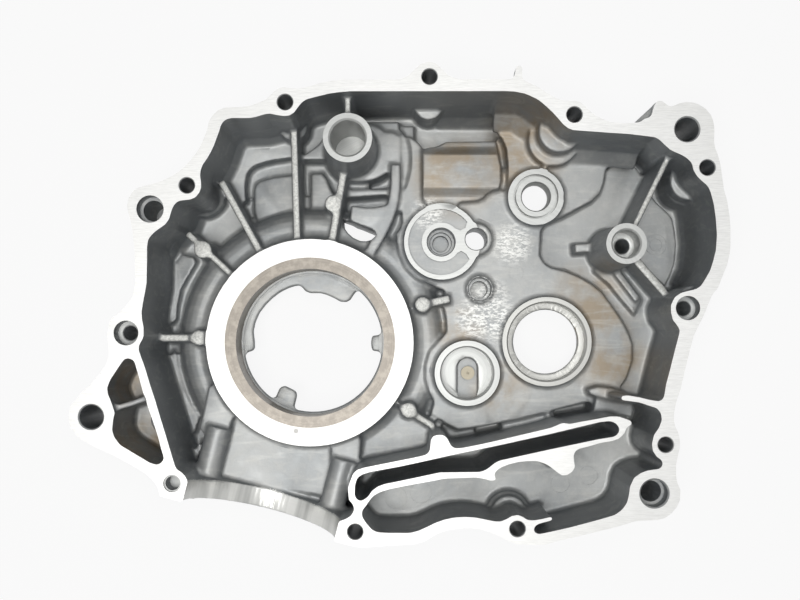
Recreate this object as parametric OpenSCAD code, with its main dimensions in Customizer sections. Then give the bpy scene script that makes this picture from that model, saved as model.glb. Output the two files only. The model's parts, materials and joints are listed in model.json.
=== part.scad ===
// Crankcase half of a single-cylinder motorcycle engine, seen from its open joint side.
// Origin on the crank axis at the machined face of the main bearing boss, +Z out of the open side,
// +X from the crank towards the gearbox, lengths in millimetres.

/* [Main sizes] */
// height of the joint face above the main bearing face
joint_z = 28; // [20:40]
// depth of the inside floor below the joint face
floor_d = 57; // [50:62]
// thickness of the floor
floor_t = 4.5; // [3:0.5:8]
// depth from the joint face to the outer cover flange
case_d = 69; // [64:75]
// how far the outer wall stands back under the joint flange
step_in = 1.6; // [0.5:0.1:3]
// depth of the joint flange before the wall stands back
flange_d = 8; // [4:15]
// radius of the fillet drawn at the foot of the long walls
foot_r = 6; // [3:9]

/* [Main bearing] */
// bore for the outer race
main_bore = 72; // [60:80]
// wall of the cast-in iron sleeve
sleeve_wall = 5.5; // [3:0.5:7]
// depth of the bearing seat
seat_depth = 18; // [12:22]
// outside diameter of the machined ring face
ring_od = 100.6; // [90:110]

/* [Cylinder mouth] */
// bore for the cylinder liner
liner_bore = 72; // [60:80]
// distance from the crank axis to the gasket face
mouth_dist = 84.9; // [75:95]
// lean of the cylinder axis from straight down
lean = 14.5; // [0:0.5:30]
// length of the machined band
band_len = 9.4; // [5:15]
// how far the liner bore reaches in from the gasket face
liner_room = 25.4; // [20:30]
// half the spacing of the cylinder studs
stud_half = 31.5; // [25:40]
// depth of the stud holes
stud_deep = 26; // [20:30]

/* [Gearbox bores] */
// gearbox shaft bearing seat, bored from the outer side
shaft_bore = 40; // [30:47]
// needle pocket bore
needle_bore = 25.8; // [20:30]
// depth of the needle pocket
needle_deep = 11; // [8:13]
// depth of the oil slot in the pocket's floor
slot_deep = 3.5; // [2:0.5:5]
// joint screw holes
screw_d = 7; // [6:0.1:8]
// engine mount holes
mount_d = 11; // [10:0.1:12]

/* [Outline] */
// length of the joint face from end to end
case_len = 304.612; // [280:0.1:330]
// distance the outline was read from, which makes deeper grid units larger
eye = 483; // [400:600]

/* [Hidden] */
$fn = 96;
back_d = floor_d + floor_t;
// millimetres to one unit of the grid that the outlines are given on, 662.2 units from end to end
grid = case_len / 662.2;
sleeve_od = main_bore + 2 * sleeve_wall;
pocket_d = 35.5 + needle_deep;
oil_d = pocket_d + slot_deep;
e = 0.01;

// height of a plane that lies d below the joint face
function zd(d) = joint_z - d;
// grid point p at depth d, in millimetres
function at(p, d = 0) = let (k = grid * (1 + d / eye)) [45.84 + k * (p[0] - 404), 1.31 - k * (p[1] - 340)];
function row(pts, d = 0) = [for (p = pts) at(p, d)];
function len2(a, b) = norm([b[0] - a[0], b[1] - a[1]]);
// every corner of a closed outline cut twice, so that it reads as a curve
function soft(p, q = 0.25) = let (n = len(p)) [
    for (i = [0 : n - 1], s = [-1, 1])
        let (o = p[(i + n - 1) % n], c = p[i], f = p[(i + 1) % n],
             t = q * min(len2(o, c), len2(c, f), 12), g = s < 0 ? o : f)
        c + (g - c) * t / len2(c, g)];
function unit(v) = v / norm(v);
function right_of(a, b) = let (u = unit(b - a)) [u[1], -u[0]];
// mitred normals of an open path
function normals(p) = let (n = len(p)) [
    for (i = [0 : n - 1])
        let (a = i > 0 ? right_of(p[i - 1], p[i]) : right_of(p[0], p[1]),
             b = i < n - 1 ? right_of(p[i], p[i + 1]) : a)
        (a + b) / (1 + a * b)];

// raised flat with its outline given on the grid at its own depth
module flat(pts, d, base = back_d - 1, q = 0.25)
    translate([0, 0, zd(base)]) linear_extrude(base - d) polygon(soft(row(pts, d), q));
// the same with its outline given at the joint face
module flat0(pts, d) translate([0, 0, zd(back_d - 0.9)]) linear_extrude(back_d - 0.9 - d) polygon(row(pts, 0));
// pocket with its outline given at the depth its edge lies at
module pocket(pts, d_edge, d_floor)
    translate([0, 0, zd(d_floor)]) linear_extrude(d_floor - d_edge + 0.5) polygon(row(pts, d_edge));
// upright rib from a to b with its top at depth d
module rib(a, b, w, d, base = back_d - 1) {
    p = at(a, d); q = at(b, d); v = q - p;
    translate([p[0], p[1], zd(base)]) rotate([0, 0, atan2(v[1], v[0])])
        translate([0, -w / 2, 0]) cube([norm(v), w, base - d]);
}
module post(p, r, d_top, d_base, r2 = 0)
    translate([at(p, d_top)[0], at(p, d_top)[1], zd(d_base)]) cylinder(r1 = r2 > 0 ? r2 : r, r2 = r, h = d_base - d_top);
// column whose place is given at the joint face
module column(p, r, d_top, d_base, r2)
    translate([at(p)[0], at(p)[1], zd(d_base)]) cylinder(r1 = r2, r2 = r, h = d_base - d_top);
// round hole down to d_end, its place given at the depth of its mouth
module drill(p, r, d_face, d_end, over = 2)
    translate([at(p, d_face)[0], at(p, d_face)[1], zd(d_end)]) cylinder(r = r, h = d_end - d_face + over);
// concave fillet along the foot of a wall, the open side lies to the right of the path
module cove(pts, d, r, tall = 0) {
    p = row(pts, 0); n = normals(p); h = tall > 0 ? tall : r;
    sec = [[-2, -2], [-2, h], [0, h], [0.29 * r, 0.29 * h], [r, 0], [r, -2]];
    m = len(sec); k = len(p);
    polyhedron(
        points = [for (i = [0 : k - 1], s = sec) [p[i][0] + s[0] * n[i][0], p[i][1] + s[0] * n[i][1], zd(d) + s[1]]],
        faces = concat(
            [[for (j = [0 : m - 1]) j]],
            [for (i = [0 : k - 2], j = [0 : m - 1])
                [i * m + j, (i + 1) * m + j, (i + 1) * m + (j + 1) % m, i * m + (j + 1) % m]],
            [[for (j = [m : -1 : 1]) (k - 1) * m + j % m]]));
}
// frame whose z runs out along the cylinder axis and whose y runs up
module cylinder_frame() translate([0, 0, joint_z]) rotate([0, 0, -lean]) rotate([90, 0, 0]) children();

outline = [
    [135, 270], [134.5, 250], [133, 235], [130.5, 220], [127.5, 210], [127, 205], [128.5, 198], [134, 190],
    [140, 187], [150, 184.5], [160, 181.5], [170, 177], [180, 171], [190, 161], [196, 153], [200, 147],
    [204, 138], [207, 130], [209, 121], [212, 116], [218, 110], [225, 107.5], [240, 107], [250, 106],
    [260, 102], [266, 99.5], [270, 95.5], [275, 90.5], [279, 88], [284, 87], [292, 88.5], [300, 88.5],
    [310, 86], [320, 83], [330, 81], [340, 79.8], [400, 79.5], [408, 76], [415, 69], [420, 64.5],
    [426, 62], [432, 62], [437, 64], [441, 68], [445, 72], [448, 75.5], [455, 78], [460, 79.3],
    [510, 79.3], [514.5, 77], [516, 67], [519, 65.5], [522.5, 66.5], [522, 77], [524, 80.5], [530, 83],
    [538, 87], [545, 91.5], [556, 98], [563, 100.5], [577, 101], [582, 103], [587, 108], [592, 113],
    [598, 117], [603, 119], [610, 122], [620, 123], [640, 122.5], [644, 119], [651, 117], [654, 106],
    [657, 101], [662, 101], [665, 103], [668, 106], [672, 106.5], [680, 103], [687, 102], [693, 102.5],
    [700, 105], [706, 109], [711, 115], [713.5, 122], [714.5, 130], [714, 140], [715, 148], [718, 155],
    [720.5, 165], [722, 175], [724, 190], [727, 200], [729.5, 215], [730.5, 230], [730.5, 245], [729.5, 255],
    [727, 265], [723, 275], [718, 288], [712, 295], [708, 305], [704, 315], [699, 325], [694, 335],
    [690, 350], [685, 370], [681, 388], [676, 403], [674, 413], [674, 420], [675, 426], [678, 432],
    [680, 440], [680, 447], [678, 455], [676, 465], [676, 475], [677, 482], [680.5, 490], [680, 500],
    [677, 507], [671, 514], [665, 518], [658, 520], [636, 521], [620, 526], [600, 531], [580, 536],
    [560, 540.5], [548, 544], [540, 545], [518, 544.5], [510, 541.5], [500, 536], [490, 532], [480, 529],
    [470, 528], [460, 528.5], [448, 530], [440, 532.5], [433, 536], [425, 541], [415, 544], [375, 546.5],
    [362, 547.5], [356, 546.5], [160, 497.5], [159, 491], [156.4, 484.3], [147.8, 474.8], [134, 466], [115, 455.8],
    [94.4, 446.4], [79, 437.8], [70.3, 427.4], [68.3, 417], [70.3, 405], [77.2, 399], [80, 394], [90, 385],
    [96, 378], [102, 371], [107, 363], [109, 355], [108.5, 345], [107, 335], [108, 330], [109, 323],
    [112, 318], [118, 314], [123, 309], [128, 304], [132, 298], [134, 290], [135.5, 280]];

cavity = [
    [187.5, 482.2], [187, 480], [185, 476], [181, 472], [176, 469], [174, 463], [170, 450], [165, 433], [160, 417],
    [155, 400], [150, 385], [145, 368], [141, 357], [138.5, 350], [139, 345], [142, 340], [143.5, 336],
    [143.5, 327], [142, 320], [141.5, 312], [143, 302], [145, 292], [146.5, 283], [147, 260], [147, 247],
    [148, 240], [150, 236.5], [155, 231.5], [160, 228], [165, 224.5], [169, 219], [171, 212], [173, 206.5],
    [176, 202.5], [180, 200.5], [190, 199.5], [195, 197.5], [199, 193], [201, 188], [201, 182], [200, 176],
    [200.5, 170], [203, 164], [207, 158.5], [211, 151.5], [214, 145], [217, 137], [219.5, 130], [220.5, 126],
    [223, 121.5], [227, 118.8], [232, 118], [250, 118], [257, 116.5], [265, 114], [270, 113.5], [277, 115],
    [284, 116], [289, 115.5], [294, 112.5], [298, 107], [302, 102], [307, 99], [313, 97.5], [320, 95.7],
    [330, 93.3], [340, 92], [350, 91.2], [505, 91], [515, 91.5], [525, 93.5], [532, 96.5], [539, 100],
    [546, 106], [552, 111.5], [558, 118], [563, 124], [568, 128], [573, 130], [600, 132], [630, 134],
    [650, 136.5], [655, 137], [660, 140], [665, 145], [670, 149.5], [675, 152], [682, 155], [687, 158],
    [692, 163], [693.5, 170], [697, 176], [702, 181], [708, 186], [711, 193], [714, 205], [716, 220],
    [717, 235], [716, 250], [713, 262], [710, 271], [706, 278], [703, 283], [700, 287], [695, 289.5],
    [688, 291], [681, 293], [675, 297], [671, 305], [671, 312], [673, 320], [677, 325], [680, 330],
    [679, 335], [675, 350], [670, 370], [666, 385], [664, 398], [660, 401.5], [650, 400], [640, 397.5],
    [628, 395.5], [621.5, 396], [621.5, 400], [628, 400.8], [640, 402.5], [650, 406], [657, 408], [661, 413],
    [662, 420], [659, 428], [654, 435], [652, 444], [653, 451], [657, 457], [662, 460], [663, 465],
    [660, 469], [655, 469.5], [648, 470.5], [641, 473], [634, 478], [630, 487], [629, 495], [627, 503],
    [622, 510], [615, 515], [600, 519.5], [570, 527.5], [550, 532], [540, 534], [536, 534], [533.5, 531],
    [534, 527], [538, 524], [545, 522], [551, 520.5], [553, 518.5], [551, 516.8], [547, 518], [540, 519.5],
    [533, 520.5], [527, 520], [523, 517], [518, 515], [512, 516], [507, 519], [501, 521.5], [495, 521.5],
    [485, 519.5], [475, 517.5], [465, 517], [455, 517.5], [445, 519.5], [435, 523], [427, 527], [418, 531],
    [410, 533], [390, 533], [378, 532.5], [372, 530], [366, 523], [362, 517], [362, 510], [365, 507],
    [369, 501], [373, 496], [380, 492], [390, 489], [410, 485], [430, 481.5], [445, 478.5], [460, 478],
    [475, 477.5], [483, 478.5], [490, 480.5], [495, 480.5], [496, 478.5], [494, 476], [495, 472], [500, 468],
    [508, 464.5], [518, 462], [528, 461], [537, 461], [545, 463.5], [550, 466.5], [557, 472], [562, 475.5],
    [567, 475], [572, 472], [575, 467], [574, 461], [573.5, 455], [576, 450], [580, 448.5], [590, 446],
    [600, 443], [612, 441], [618, 439], [622, 436], [625, 432], [626, 428], [629, 426], [632, 424],
    [631, 421], [626, 419], [618, 416.5], [610, 416.5], [600, 418.5], [580, 422], [570, 424], [563, 423],
    [560, 424], [552, 427.5], [540, 430.5], [500, 440], [480, 444.5], [462, 448], [455, 448.5], [451, 446],
    [449.5, 443], [447, 438], [443, 435], [437, 435], [433, 436.5], [431, 440], [430, 450], [428, 454],
    [422, 456], [410, 458.5], [390, 462.5], [370, 466.5], [363, 468], [357, 470], [353, 474], [350, 482],
    [348, 488], [349, 500], [353, 504], [354.5, 510], [351, 516], [345, 519.5], [339, 521.4]];

slot = [
    [357, 478], [362, 474.5], [370, 472], [400, 466.5], [430, 460], [450, 455.5], [500, 445], [550, 434],
    [600, 422], [610, 421], [616, 423], [619.5, 428], [619, 433], [615, 436.5], [610, 437.5], [600, 439],
    [550, 449.5], [500, 460.5], [495, 463], [490, 467], [486, 470], [480, 472], [440, 472.5], [400, 481],
    [385, 484], [378, 486.5], [372, 491], [368, 497], [362, 501], [357, 500.5], [354.5, 495], [355, 485]];

tri_upper = [
    [124, 359], [128, 358], [134, 360], [139, 377], [144, 396], [130, 401], [116, 405], [112, 403],
    [108, 395], [107, 388], [110, 380], [120, 365]];
tri_lower = [
    [115, 411], [130, 406.5], [146, 401], [149, 410], [153, 421], [156, 430], [158.5, 438],
    [161, 448], [164, 458], [162, 463], [157, 465], [150, 463], [140, 457], [120, 445], [114, 437],
    [112, 430], [113, 420]];

// low web between the two triangles
tri_web = [[110, 400], [112, 404.5], [114.5, 412.5], [130, 408], [147.5, 402.5], [143.5, 393], [130, 398]];

// joint screw holes and engine mount holes, on the grid
screws = [[186.8, 185.3], [285, 102], [429.5, 76.5], [574.5, 114.5], [707.5, 167.5], [665.8, 444.8],
          [517.5, 529], [355.2, 531.8]];
mounts = [[687.3, 129.2], [91, 417]];

// what is inside it stops in the middle of the wall
module within_walls() intersection() {
    union() children();
    translate([0, 0, zd(back_d - 0.3)]) linear_extrude(back_d - 3) offset(delta = -3) polygon(row(outline));
}
module outer_body() {
    translate([0, 0, zd(flange_d)]) linear_extrude(flange_d) polygon(row(outline));
    translate([0, 0, zd(back_d)]) linear_extrude(back_d - flange_d + e)
        offset(delta = -step_in) polygon(row(outline));
}

// block that carries the gasket face, with the lower half of its square flange
module mouth_block() cylinder_frame() translate([0, 0, mouth_dist - band_len - 1]) linear_extrude(band_len + 1)
    polygon([[-46, 0], [-46, -40], [-44.5, -44.5], [-40, -47], [40, -47], [44.5, -44.5], [46, -40], [46, 0]]);

module stud_posts() cylinder_frame() for (s = [-1, 1])
    translate([s * stud_half - 1.2, -stud_half, 51]) cylinder(r = 6.2, h = mouth_dist - 52);

// ring boss of the main bearing with its rolled shoulder, grooved along the raised gearbox floor
module ring_shoulder() difference() {
    ring_boss();
    translate([0, 0, zd(46)]) linear_extrude(30) offset(delta = 2.2) polygon(row(gear_edge, 39));
}
module ring_boss() translate([0, 0, zd(back_d - 0.5)]) rotate_extrude() polygon([
    [33, 0], [68.5, 0], [68.3, back_d - 56], [67.3, back_d - 51], [66, back_d - 46.5],
    [64, back_d - 43.2], [61.4, back_d - 41.2], [58.5, back_d - 40.5], [55.5, back_d - 40.5], [53, back_d - 39.4],
    [51.4, back_d - 37], [50.8, back_d - 34], [ring_od / 2, back_d - 0.5 - joint_z],
    [33, back_d - 0.5 - joint_z]]);

module crank_ribs() {
    rib([187, 233], [236, 279], 3.1, 29.5);
    rib([221, 181], [258.5, 249], 3.5, 30);
    rib([293.4, 116], [297, 240], 3.5, 31);
    rib([343.5, 172], [331.8, 241], 3.8, 29);
    rib([162, 338], [206, 337.8], 3.8, 30);
    rib([418, 306], [450, 298.5], 4, 31);
    rib([400, 406], [433.5, 426.5], 3.2, 30);
    post([202.5, 249.5], 4.4, 29, back_d - 1.5, 5);
    post([333, 203.5], 4.1, 28.4, back_d - 1.5, 5);
    post([198.5, 337.8], 3.9, 29, back_d - 1.5, 4.6);
    post([422.6, 304.5], 3.9, 29, back_d - 1.5, 4.6);
    post([408.8, 410.5], 3.9, 29, back_d - 1.5, 4.6);
    // curved web from the tall boss down to the ring, with a shallow groove behind it
    flat([[391, 164], [391, 178], [390, 192], [388.5, 200], [386, 210], [382, 219], [376, 230], [371, 240],
          [366.5, 249], [374, 255], [382, 242], [388, 231], [393, 220], [396.5, 210], [398.6, 200], [400, 188],
          [400.4, 176], [400, 164]], 37, back_d - 1.2, 0);
    flat([[398, 126], [414, 126], [414, 196], [405, 224], [396, 254], [384, 254], [396, 214]], 46, back_d - 2.6, 0);
    flat([[402, 131], [404.5, 136], [408.3, 146], [409.6, 158], [408, 171], [404.6, 183], [402.6, 189], [402, 170],
          [401.6, 150]], 40.5, back_d - 2.8, 0);
    // raised floor patch beside it and a low ridge above
    flat([[350, 221], [351, 205.5], [360, 206.5], [368, 207.5], [376, 207], [386, 205], [382, 214], [376, 231],
          [366, 227]], 37, back_d - 1.4, 0);
    flat([[349, 190], [388, 188.5], [387, 195], [349, 197.5]], 46, back_d - 2.2, 0);
    // light floor patches between the ribs
    flat([[254, 190], [256, 184], [262, 180.5], [275, 177], [294, 175], [294, 208.5], [275, 211], [257, 218.5],
          [254.5, 213]], 52, back_d - 2.4, 0);
    flat([[311, 174], [322, 173], [326, 178], [331, 190], [337, 198], [337, 207], [311, 207]], 52, back_d - 2.4, 0);
}

// columns round the joint screws that stand out into the cavity lower down the wall
module wall_columns() {
    post([428.5, 105], 7.2, 37, back_d - 1.6);
    post([560, 131], 10.2, 24, back_d - 1.6);
    post([554, 140], 12.6, 33.2, back_d - 2.2);
    post([293, 126], 7.2, 40, back_d - 1.6);
    post([694, 306], 9.6, 9, back_d - 1.6);
    post([690, 180], 9.8, 30, back_d - 1.6);
    post([685, 185], 10.2, 41, back_d - 2.4);
    post([509, 513.5], 8.8, 37, back_d - 1.6);
    post([508, 512.5], 10.8, 42, back_d - 2.2);
}

// terraces between the walls and the deep floor round the main bearing
module terraces() {
    flat([[226, 142], [236, 132], [300, 128], [300, 156], [289, 158], [270, 160.5], [253, 166], [247, 173],
          [245, 184], [246, 207], [231, 183], [222, 170]], 49, back_d - 1.7);
    flat([[194, 208], [196, 214], [204, 217.5], [214, 214.5], [221, 208], [225, 201], [219, 188], [214, 176],
          [206, 190]], 49, back_d - 1.7);
    flat([[305, 159.5], [305.5, 154], [312, 149.5], [319, 144], [323.5, 137], [336, 137], [336, 158],
          [327, 159.5]], 44, back_d - 1.8, 0.1);
    // floor strips along the foot of the left wall
    flat([[171.5, 354], [174, 351.5], [176.5, 354], [177, 362], [180, 376], [184, 390], [190, 404], [199, 419],
          [197, 425], [195.5, 431.5], [193, 428], [189, 413], [183, 397], [175, 380], [170, 362]], 54, back_d - 2.6, 0);
    flat([[170, 318], [173.5, 322.5], [176.5, 319], [177.5, 305], [181, 289], [187, 278], [193, 268], [196.5, 262],
          [193, 257], [183, 255], [178, 262], [174, 275], [171, 292], [169, 305]], 54, back_d - 2.6, 0);
}

module mouth_floor() {
    // plateau between the ring and the mouth, and the shoulders beside the stud posts
    flat([[234, 400], [226, 440], [218, 474], [325, 496.5], [333, 470], [333, 430]], 37, back_d - 1.9, 0);
    flat([[209, 384], [199, 431], [226, 436], [236, 410]], 30, back_d - 1.2, 0.1);
    flat([[331, 447], [345, 441], [361, 438], [360, 456], [352, 466], [331, 465]], 30, back_d - 1.2, 0.1);
    // fin beside the left post and the flat on the gearbox side
    rib([201, 444], [188, 472], 2.6, 43, back_d - 1.4);
    flat([[200, 446], [204, 450], [201, 477], [188, 474]], 48, back_d - 2.3, 0);
    flat([[361, 441], [376, 427], [391, 414], [400, 411], [414, 413], [427, 428], [427.5, 442.5], [395, 450],
          [362, 455]], 40, back_d - 2.3, 0.1);
}

module tall_boss() {
    // shelf round the foot of the tall boss
    flat([[352, 124], [370, 123.5], [380, 128], [384.5, 132.5], [392, 132.2], [397, 134.5], [399.7, 140], [399.7, 150],
          [398, 159], [393, 167.5], [386, 173.5], [376, 179], [365, 181.5], [352, 181.5], [345, 179], [337, 172],
          [331, 160], [329, 146]], 41, back_d - 2);
    flat([[350, 122], [399, 121.5], [399.3, 145], [360, 150]], 42.8, back_d - 2.5, 0);
    post([347.5, 137.5], 11.4, 4, back_d - 2.2, 14);
    rib([347.6, 92], [347.6, 130], 2.8, 9, back_d - 2.1);
}

// raised floor under the gearbox
gear_edge = [
    [402.5, 222], [402, 212], [402.8, 203], [404.5, 192], [408, 182], [411, 171], [412, 158], [411, 147],
    [408.5, 136.5], [412.5, 138.5], [419, 143], [425, 152], [440, 150], [494, 146], [496, 138.5], [501, 134],
    [507, 131], [512, 107],
    [524, 107], [546, 120], [562, 136],
    [606, 146], [606, 170.5], [604, 183], [600, 193], [592, 201], [562, 217], [545, 224], [541, 231], [540, 256],
    [545, 264], [552, 268], [565, 271], [580, 277], [592, 284], [602, 292], [610, 303], [620, 317], [628, 331],
    [633, 345], [633, 360], [627, 378], [618, 391], [596, 400], [560, 409], [520, 419], [480, 427], [458, 430],
    [446, 424], [431, 413], [434, 402], [430, 394], [426, 380], [426, 366], [430, 352], [440, 340], [447, 331],
    [446, 318], [444, 309], [450, 300], [446, 291], [438, 288], [428, 283], [416, 278], [406, 268], [399.5, 254],
    [397, 243], [396, 234], [400, 229]];
module gear_floor() {
    difference() {
        flat(gear_edge, 39, back_d - 0.8, 0);
        // groove round the number block, wider and deeper on its right
        translate([0, 0, zd(42.3)]) linear_extrude(20) offset(delta = 1.5) polygon(row(block_edge, 39));
        pocket([[494, 134], [501.5, 136], [506.5, 148], [508, 165], [508, 180], [506.5, 190.5], [498, 191.5],
                [494, 180]], 38, 46);
    }
    // raised rings of the shaft bore and the needle pocket
    post([547, 341.7], 21.6, 36.5, 41, 23.4);
    post([467.3, 373.3], 15.8, 35.5, 41, 17.6);
    // number block, left bare, with sloped flanks between two ledges
    flat(block_edge, 36, back_d - 0.8, 0);
    intersection() { number_block(); flat(block_edge, 32, 42, 0); }
    // crescent boss and the lobe that reaches its through hole
    post([441.7, 242], 18.3, 36, 41, 19.4);
    post([476.2, 239.1], 7.8, 36.1, 41, 8.8);
    flat([[455, 212], [466, 216], [474, 222.5], [484, 225], [490, 231], [492.5, 240], [489, 249], [481, 254.5],
          [475, 257], [471, 263], [455, 262]], 36.2, 41, 0);
    // seal boss
    post([536, 197], 13.4, 36, 41, 15);
    // blind boss
    post([480, 289], 6.3, 37, 41, 7.2);
    // low floor that closes the corner behind the loop wall
    flat([[431, 411], [446, 420], [458, 426], [474, 428], [474, 445], [436, 446], [428, 430]], 50, back_d - 2.7, 0);
}
block_edge = [
    [422.5, 149], [438, 146], [446, 141.5], [496, 141], [497, 147], [501, 165], [501.5, 180], [499.5, 188.5],
    [493, 189.5], [487, 193], [483, 198], [478, 200.5], [440, 204], [428, 205], [423, 200]];
module number_block() {
    a = at([420, 0], 33)[0]; b = at([503, 0], 33)[0];
    y = [for (v = [146, 154, 188, 197]) at([0, v], 33)[1]];
    translate([a, 0, 0]) rotate([90, 0, 90]) linear_extrude(b - a)
        polygon([[y[0], zd(41)], [y[0], zd(36.5)], [y[1], zd(33)], [y[2], zd(33)], [y[3], zd(36.5)], [y[3], zd(41)]]);
}

module gear_walls() {
    // tall boss by the gearbox with its ribs
    post([626.7, 243.5], 9.4, 2, back_d - 1.1, 11);
    rib([628, 240], [668, 158], 2.8, 12, back_d - 1.3);
    rib([631, 254], [664, 291.5], 3.9, 24, back_d - 1.3);
    rib([612, 246], [575, 248.4], 4.4, 36, back_d - 1.3);
    rib([604, 255], [638, 300], 3.2, 43, back_d - 1.3);
    // fan sector
    flat([[636, 225], [651, 195], [657, 203], [663, 208], [668, 213], [672, 218], [675, 230], [676.5, 245],
          [675, 262], [671, 275], [665, 287], [640, 264]], 44, back_d - 1.4, 0);
    // floor between the plateau and the far wall
    flat([[611, 163.5], [619, 162.5], [630, 163], [636, 167], [640, 173], [634, 190], [627, 206], [622, 222],
          [640, 262], [652, 285], [664, 300], [668, 330], [662, 362], [654, 396], [636, 391], [608, 396],
          [600, 330], [560, 285], [532, 262], [532, 228], [598, 196]], 47, back_d - 1.5, 0);
    flat([[600, 261], [609, 266], [621, 273], [631, 285], [641, 300], [634, 314], [622, 300], [610, 285],
          [594, 271]], 45, 50, 0);
    flat([[588, 389.5], [598, 386.5], [612, 388], [628, 393], [636, 399], [636, 404], [622, 402], [604, 398.5],
          [590, 394.5]], 31, back_d - 1.6, 0.1);
    rib([595, 404], [633, 413.5], 4.2, 33, back_d - 2.6);
}

module lower_chamber() {
    flat0([[355, 515], [361, 506], [370, 496], [379, 489], [396, 485], [440, 475.5], [480, 475], [491, 474],
          [498, 466], [503, 463.5], [550, 452], [602, 441], [617, 437.5], [622, 431], [640, 425], [668, 440],
          [668, 470], [640, 500], [625, 520], [530, 539], [500, 527], [445, 525], [415, 540], [358, 538]], 45);
}

module coves() {
    cove([[147.5, 246], [157, 229.5], [168, 221], [174, 206]], floor_d, foot_r - 2, 12);
    cove([[202, 168], [213, 148], [220, 126], [228, 118.5], [256, 117.5], [270, 114]], 49, 4, 20);
    cove([[442, 91.2], [503, 91.3]], floor_d - 1, foot_r - 0.5, 26);
    cove([[500, 91.3], [525, 91.5], [546, 104.5], [554, 112]], 39.1, foot_r + 5, 26);
    cove([[575, 130], [632, 133.5], [655, 136]], 39.2, foot_r + 3, 24);
    cove([[697, 176], [708, 187], [714, 205], [717, 235], [714, 262], [706, 279]], floor_d, 2.2, 20);
    cove([[681, 332], [675, 350], [666, 387], [662, 401]], floor_d, foot_r - 2, 14);
}

// what stands on the outer side: cover flange, bearing hub, mount bosses
module outer_side() {
    translate([0, 0, zd(case_d)]) linear_extrude(case_d - back_d + 2) difference() {
        circle(r = 76);
        circle(r = 71);
    }
    for (a = [20, 75, 130, 185, 240, 320]) rotate([0, 0, a]) translate([76, 0, zd(case_d)])
        cylinder(r = 6, h = case_d - back_d + 1.5);
    translate([0, 0, zd(back_d + 4)]) difference() {
        cylinder(r = 47, h = 7);
        translate([0, 0, -1]) cylinder(r = 30, h = 20);
    }
    for (a = [0 : 60 : 300]) rotate([0, 0, a + 10]) translate([46, -1.5, zd(back_d + 3)]) cube([26, 3, 5]);
    post([545, 342.5], 24.5, back_d - 20, back_d + 3, 24);
    post([534, 199], 13.4, back_d - 3, back_d + 2, 13);
    // web under the rim beside the upper mount lug
    flat([[633.5, 123.5], [657, 101.8], [663, 108], [655, 126]], 4, 40, 0);
    for (m = mounts) column(m, 10.5, flange_d - 2, case_d, 9.5);
    for (s = screws) column(s, 6.4, flange_d - 3, back_d + 3, 5.9);
}

// pockets in the outer side that keep the walls thin under the raised floors
module outer_pockets() {
    translate([0, 0, zd(case_d + 1)]) {
        linear_extrude(case_d + 1 - 44) difference() {
            polygon(soft(row([[500, 222], [520, 236], [534, 262], [575, 282], [600, 305], [622, 345], [610, 378],
                              [590, 392], [540, 402], [505, 410], [500, 390], [492, 340], [500, 300], [506, 262]], 44)));
            translate(at([545, 342.5], 44)) circle(r = 24);
        }
        linear_extrude(case_d + 1 - 44) polygon(soft(row([[428, 152], [488, 152], [490, 166], [486, 182],
            [432, 188], [427, 170]], 44)));
        linear_extrude(case_d + 1 - 50) polygon(soft(row([[375, 500], [418, 500], [440, 492], [470, 490], [485, 494],
            [486, 506], [440, 510], [420, 520], [380, 522]], 45)));
        linear_extrude(case_d + 1 - 50) polygon(soft(row([[555, 500], [600, 490], [612, 470], [640, 452], [645, 462],
            [622, 480], [616, 500], [600, 508], [560, 515]], 45)));
    }
}

// stop lugs for the outer race, left under the bearing seat, their inner edges as seen on the grid
module stop_lugs() translate([0, 0, zd(joint_z + seat_depth + 5)]) linear_extrude(4) intersection() {
    circle(r = main_bore / 2 + 2);
    union() {
        polygon(row([[275, 402], [276.5, 395], [279, 389], [281, 387], [284.5, 386], [287, 387], [294, 390.5],
                     [296.5, 393], [296.5, 397], [295, 403], [290, 420], [270, 418]], 47));
        polygon(row([[248, 352], [252, 351], [254.5, 348], [254, 340], [253, 331], [255, 322], [259, 313],
                     [265, 305], [272, 298], [280, 292], [288, 288], [294, 286], [299, 285.2], [302.5, 287.5],
                     [305, 291], [310, 293], [320, 293], [326, 294.5], [334, 298], [340, 301.5], [346, 302],
                     [350, 300], [354, 294], [362, 283], [355, 262], [310, 248], [260, 258], [230, 295],
                     [225, 325], [228, 354]], 47));
        polygon(row([[400, 334], [373, 335.5], [371.5, 338], [371, 343], [371.5, 348], [373, 351], [400, 353]], 47));
    }
}
// ledge in the lower triangle, kept on its own side of the wall
module tri_post() intersection() {
    translate([at([160, 421])[0], at([160, 421])[1], zd(41)]) cylinder(r = 5.6, h = 41 - 5);
    translate([0, 0, zd(42)]) linear_extrude(40) polygon(row([[135, 395], [150, 400], [158, 425], [166, 450], [135, 450]]));
}

module joint_holes() {
    for (p = screws) drill(p, screw_d / 2, 0, case_d + 1);
    for (p = mounts) drill(p, mount_d / 2, 0, case_d + 1);
    // stepped holes: big step for a dowel, then the screw hole
    drill([150, 209], 6.3, 0, 7.5);    drill([150, 209], 4.7, 0, 34);
    drill([688, 308], 5.6, 0, 8);      drill([688, 308], 3.25, 0, case_d);
    drill([654.5, 493.5], 6.3, 0, 8);  drill([654.5, 493.5], 4.8, 0, 46);
    drill([126, 333], 5.75, 0, 8);     drill([126, 333], 3.25, 0, case_d);
    translate([at([654.5, 493.5])[0], at([654.5, 493.5])[1], joint_z - 0.7]) cylinder(r1 = 6.25, r2 = 7, h = 0.72);
    // blind dowel hole beside the mouth
    drill([172, 483.5], 4.05, 0, 1.2);  drill([172, 483.5], 3.2, 0, 10);
}

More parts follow.
